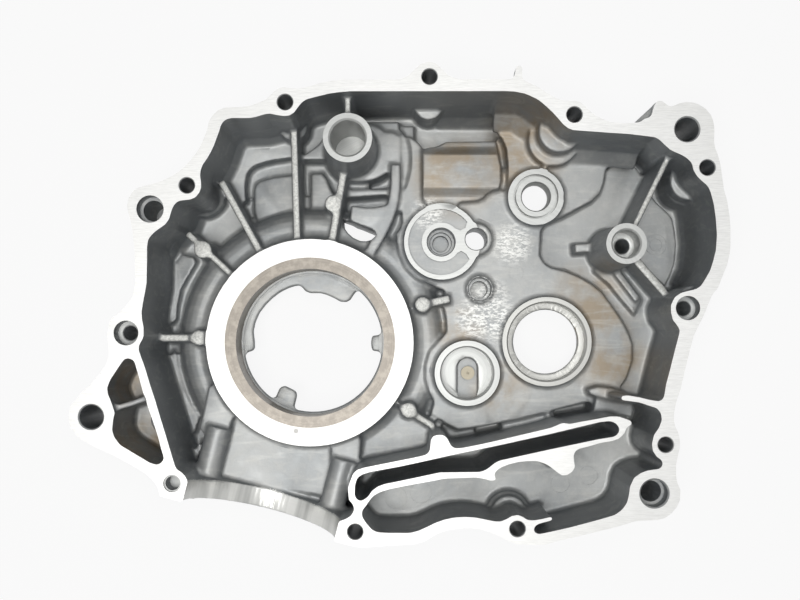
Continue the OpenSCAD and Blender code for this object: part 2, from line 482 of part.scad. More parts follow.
module bearing_bores() {
    translate([0, 0, zd(case_d + 5)]) cylinder(d = main_bore - 2.2, h = case_d + 5 - joint_z - seat_depth + 1);
    // relief behind the thin stop shoulder
    translate([0, 0, zd(case_d + 5)]) cylinder(d = main_bore + 4.8, h = case_d + 5 - joint_z - seat_depth - 3);
    translate([0, 0, -seat_depth]) cylinder(d = sleeve_od, h = seat_depth + 5);
    h = at([547, 341.7], 36.5);
    translate([h[0], h[1], 0]) {
        translate([0, 0, zd(36.5 + 6.5)]) cylinder(r = 19.3, h = 12);
        translate([0, 0, zd(48)]) cylinder(r = 16, h = 14);
        translate([0, 0, zd(case_d + 2)]) cylinder(d = shaft_bore, h = case_d + 2 - 46.4);
    }
    n = at([467.3, 373.3], 35.5);
    translate([n[0], n[1], zd(pocket_d)]) cylinder(d = needle_bore, h = needle_deep + 3);
}

// opening through the ring's shoulder and the floor
module floor_opening() translate([0, 0, zd(case_d)]) linear_extrude(case_d - 29)
    polygon(row([[342, 218], [350, 221], [360, 225.5], [374.5, 231.5], [377, 235], [372, 239.5], [366, 241],
        [360, 240.6], [353, 237.4], [348, 233], [343, 226]], 39));

module gear_bores() {
    // slot in the floor of the needle pocket
    translate([at([467.4, 368], 46)[0], at([467.4, 368], 46)[1], zd(oil_d)]) cylinder(r = 4.9, h = slot_deep + 0.2);
    translate([0, 0, zd(oil_d)]) linear_extrude(slot_deep + 0.2)
        polygon(row([[457.6, 368], [477.2, 368], [477.2, 401], [457.6, 401]], 46));
    // crescent boss: horseshoe pocket round the hub
    c = at([441.2, 242], 36);
    translate([c[0], c[1], zd(38)]) linear_extrude(12) difference() {
        circle(r = 16.3);
        circle(r = 9.6);
        polygon([[0, 0], [6.9, 6.9], [9.4, 5.7], [11.9, 6.9], [12.8, 9.9], [26, 12], [26, -10], [13.5, -8.2],
                 [12.4, -5.9], [9.9, -4.4], [7.9, -5.4]]);
    }
    drill([441.2, 242], 6.8, 36, 44);    drill([441.2, 242], 5.4, 36, 47);    drill([441.2, 242], 4, 36, 52);
    drill([476.2, 239.1], 5.3, 36, case_d);
    drill([480, 289], 5.6, 37, 44);      drill([480, 289], 4.2, 37, 53);
    // seal boss: groove, inner ring and short through hole with a wider bore behind
    s = at([536, 197], 36);
    translate([s[0], s[1], zd(39.5)]) linear_extrude(8) difference() { circle(r = 11.3); circle(r = 9.9); }
    drill([536, 197], 8.4, 36, 40);      drill([536, 197], 6.2, 36, case_d);
    translate([at([534, 199], 50)[0], at([534, 199], 50)[1], zd(case_d)]) cylinder(r = 10.4, h = case_d - 45);
    translate([at([475, 240.5], 58)[0], at([475, 240.5], 58)[1], zd(case_d)]) cylinder(r = 8, h = case_d - 56);
    // tall bosses
    drill([347.5, 137.5], 8.2, 4, 44);
    drill([626.7, 243.5], 6.4, 2, 16);
    drill([622, 246.5], 3.3, 16, 50, 8);
}

module mouth_bores() cylinder_frame() {
    translate([0, 0, mouth_dist]) rotate([180, 0, 0]) cylinder(d = liner_bore, h = liner_room);
    translate([-0.6 * ring_od, -0.55 * ring_od, mouth_dist]) cube([1.2 * ring_od, 0.7 * ring_od, 0.3 * ring_od]);
    for (s = [-1, 1]) translate([s * stud_half, -stud_half, mouth_dist - stud_deep])
        cylinder(r = 3.4, h = stud_deep + 4);
}

module crankcase_half() color([0.72, 0.73, 0.74]) {
    casting();
    stop_lugs();
}
module casting() difference() {
    union() {
        difference() {
            union() { outer_body(); mouth_block(); }
            pocket(cavity, 0, floor_d);
            pocket(slot, 0, 55);
            pocket(tri_upper, 0, 38);
            pocket(tri_lower, 0, 40);
            pocket(tri_web, 0, 3.5);
        }
        tri_post();
        ring_shoulder();
        crank_ribs();
        mouth_floor();
        stud_posts();
        tall_boss();
        gear_floor();
        gear_walls();
        within_walls() {
            wall_columns();
            terraces();
            lower_chamber();
            coves();
        }
        outer_side();
    }
    outer_pockets();
    floor_opening();
    bearing_bores();
    gear_bores();
    mouth_bores();
    joint_holes();
}

// iron ring cast into the boss, its outside notched to key into the metal
module main_bearing_sleeve() color([0.45, 0.42, 0.4]) translate([0, 0, -seat_depth]) difference() {
    cylinder(d = sleeve_od, h = seat_depth);
    translate([0, 0, -1]) cylinder(d = main_bore, h = seat_depth + 2);
}

module oil_jet() {
    p = at([467.4, 372.7], 50);
    color([0.6, 0.58, 0.5]) translate([p[0], p[1], zd(oil_d)]) difference() {
        cylinder(r = 3.4, h = 3);
        translate([0, 0, 0.8]) cylinder(r = 0.7, h = 4);
    }
}

crankcase_half();
main_bearing_sleeve();
oil_jet();
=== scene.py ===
import bpy, bmesh, json, math
import numpy as np
import openvdb as vdb
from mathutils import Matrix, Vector

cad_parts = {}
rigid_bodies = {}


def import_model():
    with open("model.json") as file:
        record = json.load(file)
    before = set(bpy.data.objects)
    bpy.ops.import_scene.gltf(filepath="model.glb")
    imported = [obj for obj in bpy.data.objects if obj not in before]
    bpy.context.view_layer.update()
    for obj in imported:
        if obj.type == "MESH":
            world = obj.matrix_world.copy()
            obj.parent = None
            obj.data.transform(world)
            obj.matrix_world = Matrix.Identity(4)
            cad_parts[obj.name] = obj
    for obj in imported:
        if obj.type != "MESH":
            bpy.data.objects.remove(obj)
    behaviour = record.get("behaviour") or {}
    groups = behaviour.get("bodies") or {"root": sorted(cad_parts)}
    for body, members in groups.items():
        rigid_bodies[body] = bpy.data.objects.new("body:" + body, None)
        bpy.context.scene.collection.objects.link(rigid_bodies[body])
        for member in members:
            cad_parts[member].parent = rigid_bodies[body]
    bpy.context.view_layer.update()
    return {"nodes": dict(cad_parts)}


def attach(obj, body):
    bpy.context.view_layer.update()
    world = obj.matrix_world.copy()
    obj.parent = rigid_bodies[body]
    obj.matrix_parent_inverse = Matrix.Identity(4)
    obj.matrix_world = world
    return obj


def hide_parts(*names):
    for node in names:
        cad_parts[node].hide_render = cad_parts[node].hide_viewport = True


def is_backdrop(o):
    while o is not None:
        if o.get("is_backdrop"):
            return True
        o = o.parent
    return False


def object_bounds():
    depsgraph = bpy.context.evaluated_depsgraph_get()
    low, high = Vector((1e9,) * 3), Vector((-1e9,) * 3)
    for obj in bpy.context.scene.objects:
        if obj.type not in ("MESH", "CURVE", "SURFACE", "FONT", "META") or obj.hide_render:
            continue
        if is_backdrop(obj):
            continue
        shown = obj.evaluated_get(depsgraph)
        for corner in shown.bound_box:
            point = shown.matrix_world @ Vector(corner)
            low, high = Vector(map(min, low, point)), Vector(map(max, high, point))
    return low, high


MM = 0.001
# height of the joint face over the crank bearing's face, and of the camera over the joint face, in metres
JOINT_HEIGHT, CAMERA_HEIGHT = 0.028, 0.483
# width in metres that the view takes in at the joint face
VIEW_WIDTH = 0.368

for o in list(bpy.data.objects):
    bpy.data.objects.remove(o)
scene = bpy.context.scene

# camera, looking straight down at the joint face
cam_data = bpy.data.cameras.new("camera")
cam = bpy.data.objects.new("camera", cam_data)
scene.collection.objects.link(cam)
scene.camera = cam
cam.location = (0.04584, 0.00131, JOINT_HEIGHT + CAMERA_HEIGHT)
cam_data.sensor_width = 36
cam_data.lens = cam_data.sensor_width * CAMERA_HEIGHT / VIEW_WIDTH
cam_data.shift_x = -4 / 800
cam_data.shift_y = 40 / 800
cam_data.clip_start = 0.01

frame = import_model()
nodes = frame["nodes"]

# the view grid that the part's source uses
GRID, EYE, JOINT = 0.46, 483.0, 28.0


def at(u, v, d=0.0):
    """grid point at depth d below the joint face, in millimetres"""
    k = GRID * (1 + d / EYE)
    return 45.84 + k * (u - 404), 1.31 - k * (v - 340)


def zd(d):
    return JOINT - d


# mesh helpers
def settle(ob):
    """applies the object's modifiers"""
    dg = bpy.context.evaluated_depsgraph_get()
    me = bpy.data.meshes.new_from_object(ob.evaluated_get(dg))
    ob.modifiers.clear()
    old = ob.data
    ob.data = me
    bpy.data.meshes.remove(old)


def arrays(ob):
    me = ob.data
    v = np.empty(len(me.vertices) * 3, np.float32)
    me.vertices.foreach_get("co", v)
    me.calc_loop_triangles()
    t = np.empty(len(me.loop_triangles) * 3, np.int32)
    me.loop_triangles.foreach_get("vertices", t)
    return v.reshape(-1, 3) / MM, t.reshape(-1, 3).astype(np.uint32)


def grown(points, tris, quads, by, voxel):
    """the surface that lies `by` millimetres outside a closed mesh"""
    band = abs(by) / voxel + 2.5
    g = vdb.FloatGrid.createLevelSetFromPolygons(
        points.astype(np.float32), triangles=tris, quads=quads,
        transform=vdb.createLinearTransform(voxel), halfWidth=band)
    p, q = g.convertToQuads(isovalue=by)
    return p, q


def straight(x, y, z):
    return x, y, z


LEAN = math.radians(14.5)


def mouthwise(x, y, z):
    """from the cylinder's own frame, z out along its axis"""
    c, s = math.cos(LEAN), math.sin(LEAN)
    return x * c - z * s, -x * s - z * c, y + JOINT


def lathe(bm, x, y, profile, seg=96, place=straight):
    """closed turned piece over (radius, height) pairs, lowest first"""
    turn = [2 * math.pi * i / seg for i in range(seg)]
    rings = [[bm.verts.new([c * MM for c in place(x + r * math.cos(a), y + r * math.sin(a), z)]) for a in turn]
             for r, z in profile]
    bm.faces.new(rings[0][::-1])
    bm.faces.new(rings[-1])
    for lo, hi in zip(rings, rings[1:]):
        for i in range(seg):
            j = (i + 1) % seg
            bm.faces.new((lo[i], lo[j], hi[j], hi[i]))


def hoop(bm, x, y, r0, r1, z0, z1, seg=96):
    """closed ring with r0 inside and r1 outside"""
    turn = [2 * math.pi * i / seg for i in range(seg)]
    rings = [[bm.verts.new(((x + r * math.cos(a)) * MM, (y + r * math.sin(a)) * MM, z * MM)) for a in turn]
             for r, z in ((r0, z0), (r1, z0), (r1, z1), (r0, z1))]
    for k in range(4):
        a, b = rings[k], rings[(k + 1) % 4]
        for i in range(seg):
            j = (i + 1) % seg
            bm.faces.new((a[j], b[j], b[i], a[i]))


def prism(bm, pts, z0, z1):
    """closed upright prism over an outline in millimetres"""
    area = sum(p[0] * q[1] - q[0] * p[1] for p, q in zip(pts, pts[1:] + pts[:1]))
    if area < 0:
        pts = pts[::-1]
    lo = [bm.verts.new((x * MM, y * MM, z0 * MM)) for x, y in pts]
    hi = [bm.verts.new((x * MM, y * MM, z1 * MM)) for x, y in pts]
    bm.faces.new(lo[::-1])
    bm.faces.new(hi)
    for i in range(len(pts)):
        j = (i + 1) % len(pts)
        bm.faces.new((lo[i], lo[j], hi[j], hi[i]))


def cut(ob, fill, operation="DIFFERENCE"):
    """one boolean with the closed pieces that fill(bm) makes"""
    bm = bmesh.new()
    fill(bm)
    me = bpy.data.meshes.new("tool")
    bm.to_mesh(me)
    bm.free()
    tool = bpy.data.objects.new("tool", me)
    scene.collection.objects.link(tool)
    m = ob.modifiers.new("cut", "BOOLEAN")
    m.object, m.operation, m.solver = tool, operation, "MANIFOLD"
    settle(ob)
    bpy.data.objects.remove(tool)
    bpy.data.meshes.remove(me)


# the casting: machined faces stand proud while the cast edges are rounded, then they are cut back flat
h_x, h_y = at(547, 341.7, 36.5)
i_x, i_y = at(467.3, 373.3, 35.5)
a_x, a_y = at(347.5, 137.5, 4)
d_x, d_y = at(626.7, 243.5, 2)
c_x, c_y = at(441.7, 242, 36)
hub_x, hub_y = at(441.2, 242, 36)
lobe_x, lobe_y = at(476.2, 239.1, 36)
s_x, s_y = at(536, 196.6, 36)
b_x, b_y = at(480, 289, 37)
# centre x, y, radius, height of each face
faces = [(0.0, 0.0, 50.3, 0.0), (h_x, h_y, 21.6, zd(36.5)), (i_x, i_y, 15.8, zd(35.5)), (a_x, a_y, 11.4, zd(4)),
         (d_x, d_y, 9.4, zd(2)), (c_x, c_y, 18.3, zd(36)), (s_x, s_y, 13.4, zd(36)), (b_x, b_y, 6.3, zd(37))]
PROUD = 2.5
VOXEL = 0.46
FILLET = 1.5
ROUND = 0.42
MOST = 186000


def cast_body():
    p, t = arrays(nodes["crankcase_half"])
    p = p.copy()
    p[p[:, 2] > JOINT - 0.02, 2] = JOINT + 4
    for x, y, r, z in faces:
        near = np.hypot(p[:, 0] - x, p[:, 1] - y) < r + 0.3
        p[near & (abs(p[:, 2] - z) < 0.02), 2] = z + PROUD
    # concave corners filled to a fillet, then convex cast edges rounded
    q, f = grown(p, t, None, FILLET, VOXEL)
    q, f = grown(q, None, f, -FILLET - ROUND, VOXEL)
    q, f = grown(q, None, f, ROUND, VOXEL)
    me = bpy.data.meshes.new("casting")
    me.vertices.add(len(q))
    me.vertices.foreach_set("co", (q * MM).astype(np.float32).ravel())
    me.loops.add(len(f) * 4)
    me.loops.foreach_set("vertex_index", f.astype(np.int32)[:, ::-1].ravel())
    me.polygons.add(len(f))
    me.polygons.foreach_set("loop_start", np.arange(0, len(f) * 4, 4, dtype=np.int32))
    me.polygons.foreach_set("loop_total", np.full(len(f), 4, np.int32))
    me.update(calc_edges=True)
    ob = bpy.data.objects.new("casting", me)
    scene.collection.objects.link(ob)
    m = ob.modifiers.new("lean", "DECIMATE")
    m.ratio = min(1.0, MOST / (2 * len(f)))
    settle(ob)
    return ob


def machining(bm):
    # joint face
    prism(bm, [(-140, -120), (230, -120), (230, 150), (-140, 150)], JOINT, JOINT + 12)


def spot_facing(bm):
    for x, y, r, z in faces:
        lathe(bm, x, y, [(r + 0.9, z), (r + 0.9, z + PROUD + 2)])


def plugging(bm):
    # land of the seal boss
    lathe(bm, s_x, s_y, [(10.6, zd(44.5)), (10.6, zd(36))])


screws = [(186.8, 185.3), (285, 102), (429.5, 76.5), (574.5, 114.5), (707.5, 167.5), (665.8, 444.8),
          (517.5, 529), (355.2, 531.8)]
mounts = [(687.3, 129.2), (91, 417)]


def boring(bm):
    up = zd(-1)
    lathe(bm, 0, 0, [(34.9, -18.9), (34.9, -18), (41.5, -18), (41.5, 3)], 180)
    # gearbox bore with its recess, then the needle pocket, the tall bosses and the hub
    lathe(bm, h_x, h_y, [(16, zd(50)), (16, zd(43)), (19.3, zd(43)), (19.3, zd(37.2)), (20, zd(36.5)),
                         (20, zd(33))], 128)
    lathe(bm, i_x, i_y, [(12.9, zd(46.5)), (12.9, zd(36.1)), (13.5, zd(35.5)), (13.5, zd(32))])
    lathe(bm, a_x, a_y, [(8.2, zd(44)), (8.2, zd(4.8)), (9, zd(4)), (9, zd(1))])
    lathe(bm, d_x, d_y, [(6.4, zd(16)), (6.4, zd(2.8)), (7.1, zd(2)), (7.1, up)])
    lathe(bm, hub_x, hub_y, [(4, zd(52)), (4, zd(47)), (5.4, zd(47)), (5.4, zd(44)), (6.8, zd(44)), (6.8, zd(36.5)),
                             (7.2, zd(36)), (7.2, zd(33))])
    lathe(bm, lobe_x, lobe_y, [(5.3, zd(70)), (5.3, zd(36.6)), (5.7, zd(36.1)), (5.7, zd(33))])
    lathe(bm, b_x, b_y, [(4.2, zd(53)), (4.2, zd(44)), (5.6, zd(44)), (5.6, zd(34))])
    lathe(bm, s_x, s_y, [(6.5, zd(50)), (6.5, zd(42)), (7, zd(41)), (7, zd(36.7)), (7.5, zd(36)), (7.5, zd(33))])
    hoop(bm, s_x, s_y, 9.9, 11.1, zd(39.5), zd(33))
    # joint face: screw, mount and dowel holes
    for p in screws:
        lathe(bm, *at(*p), [(3.5, zd(70)), (3.5, zd(0.4)), (3.9, zd(0)), (3.9, up)], 64)
    for p in mounts:
        lathe(bm, *at(*p), [(5.5, zd(71)), (5.5, zd(0.6)), (6.1, zd(0)), (6.1, up)], 64)
    lathe(bm, *at(150, 209), [(4.7, zd(34)), (4.7, zd(7.5)), (6.3, zd(7.5)), (6.3, up)], 64)
    lathe(bm, *at(688, 308), [(3.25, zd(70)), (3.25, zd(8)), (5.6, zd(8)), (5.6, up)], 64)
    lathe(bm, *at(654.5, 493.5), [(4.8, zd(46)), (4.8, zd(8)), (6.3, zd(8)), (6.3, zd(0.7)), (7, zd(0)),
                                  (7, up)], 64)
    lathe(bm, *at(126, 333), [(3.25, zd(70)), (3.25, zd(8)), (5.75, zd(8)), (5.75, up)], 64)
    lathe(bm, *at(172, 483.5), [(3.2, zd(10)), (3.2, zd(1.2)), (4.05, zd(1.2)), (4.05, up)], 64)
    # liner bore in the mouth
    lathe(bm, 0, 0, [(36, 59.5), (36, 84.2), (36.7, 84.9), (36.7, 90)], 200, mouthwise)


def pocketing(bm):
    # deep offset hole of the far boss
    lathe(bm, *at(622, 246.5, 16), [(3.3, zd(50)), (3.3, zd(14))], 48)
    # slot in the needle pocket's floor
    x, y = at(467.4, 368, 46)
    low = at(467.4, 401, 46)[1]
    arc = [(x + 4.9 * math.cos(a), y + 4.9 * math.sin(a)) for a in (math.pi * i / 20 for i in range(21))]
    prism(bm, arc + [(x - 4.9, low), (x + 4.9, low)], zd(50), zd(45.5))
    # window beside the ring's shoulder
    window = [(342, 218), (350, 221), (360, 225.5), (374.5, 231.5), (377, 235), (372, 239.5), (366, 241),
              (360, 240.6), (353, 237.4), (348, 233), (343, 226)]
    prism(bm, [at(u, v, 39) for u, v in window], zd(70), zd(36))
    # horseshoe pocket round the hub
    outer = [(16.3, math.radians(37.7 + 291 * i / 60)) for i in range(61)]
    inner = [(9.6, math.radians(325.6 - 280.6 * i / 60)) for i in range(61)]
    ring = [(hub_x + r * math.cos(a), hub_y + r * math.sin(a)) for r, a in outer]
    ring += [(hub_x + 12.4, hub_y - 5.9), (hub_x + 9.9, hub_y - 4.4)]
    ring += [(hub_x + r * math.cos(a), hub_y + r * math.sin(a)) for r, a in inner]
    ring += [(hub_x + 9.4, hub_y + 5.7), (hub_x + 11.9, hub_y + 6.9)]
    prism(bm, ring, zd(38.2), zd(34))


def marking(bm):
    """shallow rings left by the mould's pins, and a plain date dial without numbers"""
    for u, v, d, r in ((490, 327, 39, 4.7), (516, 273, 39, 3.6), (396, 497, 45, 5.5), (421, 492, 45, 5.3),
                       (560, 483, 45, 4.6), (588, 475, 45, 4.6)):
        hoop(bm, *at(u, v, d), r - 0.22, r + 0.22, zd(d) - 0.25, zd(d) + 1.2, 64)
    x, y = at(655.5, 245, 44)
    hoop(bm, x, y, 5.0, 5.4, zd(44) - 0.4, zd(44) + 1.2, 64)
    hoop(bm, x, y, 2.9, 3.2, zd(44) - 0.4, zd(44) + 1.2, 48)
    for i in range(12):
        a = math.pi * i / 6
        lathe(bm, x + 4.1 * math.cos(a), y + 4.1 * math.sin(a), [(0.28, zd(44) - 0.35), (0.28, zd(44) + 1.2)], 10)


casting = cast_body()
cut(casting, machining)
cut(casting, spot_facing)
cut(casting, plugging, "UNION")
cut(casting, boring)
cut(casting, pocketing)
cut(casting, marking)
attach(casting, "root")
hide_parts("crankcase_half")


# materials
def srgb(r, g, b):
    return tuple(((c / 255) / 12.92 if c <= 10 else ((c / 255 + 0.055) / 1.055) ** 2.4) for c in (r, g, b)) + (1.0,)


class Mat:
    """small helper round a node tree"""

    def __init__(self, name, metallic, rough):
        self.m = bpy.data.materials.new(name)
        self.m.use_nodes = True
        self.t = self.m.node_tree
        self.b = self.t.nodes["Principled BSDF"]
        self.b.inputs["Metallic"].default_value = metallic
        self.b.inputs["Roughness"].default_value = rough
        self.pos = self.t.nodes.new("ShaderNodeTexCoord").outputs["Object"]
        s = self.node("ShaderNodeSeparateXYZ")
        self.link(self.pos, s.inputs[0])
        self.x, self.y, self.z = s.outputs

    def node(self, kind, **kw):
        n = self.t.nodes.new(kind)
        for k, v in kw.items():
            if k in n.inputs.keys():
                s = n.inputs[k]
                if hasattr(v, "links"):
                    self.t.links.new(v, s)
                else:
                    s.default_value = v
            else:
                setattr(n, k, v)
        return n

    def link(self, a, b):
        self.t.links.new(a, b)

    def noise(self, scale, detail=4, rough=0.55, vec=None, distortion=0.0):
        n = self.node("ShaderNodeTexNoise", Scale=scale, Detail=detail, Roughness=rough, Distortion=distortion)
        self.link(vec or self.pos, n.inputs["Vector"])
        return n.outputs["Fac"]

    def ramp(self, fac, stops):
        n = self.t.nodes.new("ShaderNodeValToRGB")
        e = n.color_ramp.elements
        e[0].position, e[0].color = stops[0][0], stops[0][1]
        e[1].position, e[1].color = stops[-1][0], stops[-1][1]
        for p, c in stops[1:-1]:
            x = e.new(p)
            x.color = c
        self.link(fac, n.inputs["Fac"])
        return n.outputs["Color"]

    def math(self, op, a, b=None, c=None, clamp=False):
        n = self.t.nodes.new("ShaderNodeMath")
        n.operation, n.use_clamp = op, clamp
        for i, v in enumerate((a, b, c)):
            if v is None:
                continue
            if hasattr(v, "links"):
                self.link(v, n.inputs[i])
            else:
                n.inputs[i].default_value = v
        return n.outputs[0]

    def step(self, v, lo, hi):
        """0 where v is at lo, 1 at hi, straight between"""
        return self.math("DIVIDE", self.math("SUBTRACT", v, lo), hi - lo, clamp=True)

    def mix(self, fac, a, b, blend="MIX"):
        n = self.t.nodes.new("ShaderNodeMix")
        n.data_type, n.blend_type = "RGBA", blend
        for s, v in (("Factor", fac), ("A", a), ("B", b)):
            k = [i for i in n.inputs if i.name == s and (i.type == "RGBA" or s == "Factor")][0]
            if hasattr(v, "links"):
                self.link(v, k)
            else:
                k.default_value = v
        return [o for o in n.outputs if o.type == "RGBA"][0]

    def map(self, rot=(0, 0, 0), scale=(1, 1, 1), vec=None):
        n = self.node("ShaderNodeMapping")
        self.link(vec or self.pos, n.inputs["Vector"])
        n.inputs["Rotation"].default_value = rot
        n.inputs["Scale"].default_value = scale
        return n.outputs["Vector"]

    def flat_dist(self, x, y):
        """distance in the XY plane from a point in millimetres"""
        dx = self.math("SUBTRACT", self.x, x * MM)
        dy = self.math("SUBTRACT", self.y, y * MM)
        return self.math("SQRT", self.math("ADD", self.math("MULTIPLY", dx, dx), self.math("MULTIPLY", dy, dy)))

    def near(self, x, y, r, soft):
        """1 within r of a point, falling to 0 over soft, all in millimetres"""
        return self.math("DIVIDE", self.math("SUBTRACT", (r + soft) * MM, self.flat_dist(x, y)), soft * MM, clamp=True)

    def any(self, *masks):
        out = masks[0]
        for m in masks[1:]:
            out = self.math("MAXIMUM", out, m)
        return out

    def times(self, *v):
        out = v[0]
        for m in v[1:]:
            out = self.math("MULTIPLY", out, m)
        return out

    def bump(self, height, strength, distance, normal=None):
        n = self.node("ShaderNodeBump", Strength=strength, Distance=distance)
        self.link(height, n.inputs["Height"])
        if normal is not None:
            self.link(normal, n.inputs["Normal"])
        return n.outputs["Normal"]

    def done(self, colour, normal=None):
        self.link(colour, self.b.inputs["Base Color"])
        if normal is not None:
            self.link(normal, self.b.inputs["Normal"])
        return self.m


def spots(m, pts, d, r, soft):
    """soft round patches at grid points"""
    return m.any(*[m.near(*at(u, v, d), r, soft) for u, v in pts])


def cast_metal(light, dark):
    """as-cast skin: cloudy grey, with painted shade darkening steep walls, and with stains, scuffs and flow lines"""
    m = Mat("cast_alloy_skin", 0.35, 0.46)
    big = m.noise(26, 3)
    mid = m.noise(190, 5, 0.62)
    fine = m.noise(2400, 3, 0.6)
    col = m.ramp(big, [(0.32, dark), (0.68, light)])
    col = m.mix(m.math("MULTIPLY", m.step(mid, 0.48, 0.75), 0.5), col, srgb(196, 196, 192))
    # painted shade: steep walls are mixed toward a dark blue-grey by the slope of their normal, standing in for how
    # little light falls on them
    n = m.node("ShaderNodeSeparateXYZ")
    m.link(m.node("ShaderNodeNewGeometry").outputs["True Normal"], n.inputs[0])
    steep_painted_shade = m.math("SUBTRACT", 1.0, m.step(m.math("ABSOLUTE", n.outputs[2]), 0.25, 0.8))
    col = m.mix(m.math("MULTIPLY", steep_painted_shade, 0.55), col, srgb(112, 118, 125))
    # warm stains by the gearbox bore, the block and in the triangles
    warm = m.any(spots(m, [(600, 330), (614, 360), (590, 300)], 39, 9, 14),
                 spots(m, [(455, 170), (520, 150)], 36, 12, 14),
                 spots(m, [(500, 390), (455, 330)], 39, 5, 12), spots(m, [(128, 380), (145, 437)], 30, 6, 8))
    col = m.mix(m.times(warm, m.step(m.noise(60, 4, 0.6), 0.35, 0.6), 0.75), col, srgb(150, 132, 106))
    # scuffed bright places on the plateau
    rub = m.any(spots(m, [(478, 318), (500, 322), (488, 300)], 39, 6, 7), spots(m, [(512, 244)], 39, 6, 6),
                spots(m, [(428, 214)], 39, 4, 6))
    scratch = m.noise(420, 4, 0.7, m.map(rot=(0, 0, 0.6), scale=(1, 2.4, 1)))
    col = m.mix(m.times(rub, m.step(scratch, 0.46, 0.56), 0.8), col, srgb(232, 232, 228))
    # flow lines of the melt
    flow = m.noise(75, 3, 0.6, m.map(rot=(0, 0, -0.5), scale=(0.6, 3.2, 1)), 1.2)
    col = m.mix(m.math("MULTIPLY", m.step(flow, 0.52, 0.72), 0.28), col, srgb(205, 204, 198))
    nrm = m.bump(mid, 0.16, 0.0006)
    nrm = m.bump(fine, 0.28, 0.00009, nrm)
    m.link(m.math("ADD", m.math("MULTIPLY", mid, 0.24), 0.34), m.b.inputs["Roughness"])
    return m.done(col, nrm)


def milled():
    """joint face with the long arcs of a face mill"""
    m = Mat("milled_face", 0.3, 0.4)
    lines = m.noise(230, 3, 0.6, m.map(rot=(0, 0, math.radians(24)), scale=(1, 26, 1)))
    cross = m.noise(150, 2, 0.6, m.map(rot=(0, 0, math.radians(-62)), scale=(1, 34, 1)))
    big = m.noise(22, 3)
    nicks = m.noise(700, 3, 0.75, m.map(rot=(0, 0, 0.9), scale=(1, 3, 1)))
    col = m.ramp(lines, [(0.3, srgb(222, 222, 220)), (0.7, srgb(250, 250, 248))])
    col = m.mix(m.math("MULTIPLY", m.step(cross, 0.45, 0.7), 0.3), col, srgb(216, 216, 213))
    col = m.mix(m.math("MULTIPLY", m.step(big, 0.42, 0.68), 0.35), col, srgb(228, 228, 224))
    col = m.mix(m.math("MULTIPLY", m.step(nicks, 0.7, 0.76), 0.6), col, srgb(150, 150, 148))
    return m.done(col, m.bump(m.math("ADD", lines, m.math("MULTIPLY", cross, 0.5)), 0.25, 0.00005))


def turned(name, x, y, colour, dark, rough=0.35, metallic=0.3, stain_and_shade=None):
    """concentric tool marks round a centre"""
    m = Mat(name, metallic, rough)
    c = m.node("ShaderNodeCombineXYZ")
    m.link(m.flat_dist(x, y), c.inputs[0])
    m.link(m.z, c.inputs[1])
    marks = m.noise(5200, 2, 0.6, c.outputs[0])
    bands = m.noise(900, 2, 0.6, c.outputs[0])
    big = m.noise(46, 3)
    col = m.mix(marks, dark, colour)
    col = m.mix(m.math("MULTIPLY", m.step(bands, 0.4, 0.65), 0.4), col, dark)
    col = m.mix(m.math("MULTIPLY", big, 0.3), col, colour)
    # extra colour pass: mottle on the sleeve, and painted shade with a speck on the ring face
    if stain_and_shade:
        col = stain_and_shade(m, col)
    return m.done(col, m.bump(marks, 0.25, 0.00004))


def ring_shade_and_speck(m, col):
    """painted shade: greyer towards the mouth, standing in for the dull side of the turned face's reflection, with one
    dark speck
    """
    # painted shade mask, rising towards the mouth
    low = m.step(m.math("SUBTRACT", m.math("MULTIPLY", m.x, 0.25), m.y), -0.01, 0.045)
    col = m.mix(m.math("MULTIPLY", low, 0.62), col, srgb(182, 182, 179))
    speck = m.near(*at(296, 431, 28), 0.9, 0.8)
    return m.mix(m.math("MULTIPLY", speck, 0.7), col, srgb(90, 88, 84))


def sleeve_stain(m, col):
    """mottled iron"""
    mott = m.noise(240, 4, 0.65)
    return m.mix(m.math("MULTIPLY", m.step(mott, 0.45, 0.62), 0.5), col, srgb(176, 168, 156))


def band():
    """bored mouth with painted long reflections along the cylinder"""
    m = Mat("bored_mouth", 0.4, 0.3)
    v = m.map(rot=(0, 0, LEAN))
    # painted reflection: light and dark streaks along the cylinder's axis
    painted_reflection_streak = m.noise(90, 3, 0.6, m.map(scale=(1.4, 0.05, 0.05), vec=v))
    lines = m.noise(900, 2, 0.6, m.map(scale=(0.05, 2, 0.05), vec=v))
    col = m.ramp(painted_reflection_streak, [(0.34, srgb(176, 177, 174)), (0.6, srgb(240, 240, 236))])
    col = m.mix(m.math("MULTIPLY", lines, 0.25), col, srgb(190, 190, 187))
    return m.done(col, m.bump(lines, 0.2, 0.00004))


def rib_top():
    m = Mat("lapped_rib_top", 0.3, 0.5)
    grain = m.noise(900, 4, 0.7)
    col = m.ramp(grain, [(0.35, srgb(176, 177, 173)), (0.65, srgb(222, 222, 217))])
    return m.done(col, m.bump(grain, 0.4, 0.00012))


mats = [cast_metal(srgb(172, 173, 171), srgb(146, 149, 150)), milled(),
        turned("turned_ring", 0, 0, srgb(240, 240, 237), srgb(216, 216, 213), stain_and_shade=ring_shade_and_speck),
        turned("turned_gear_bore", h_x, h_y, srgb(206, 206, 202), srgb(168, 168, 163)),
        turned("turned_small", i_x, i_y, srgb(204, 205, 202), srgb(164, 166, 164)),
        rib_top(), band()]
CAST, RIM, RING, GEAR_BORE, SMALL, RIB, MOUTH = range(7)
me = casting.data
me.materials.clear()
for m in mats:
    me.materials.append(m)

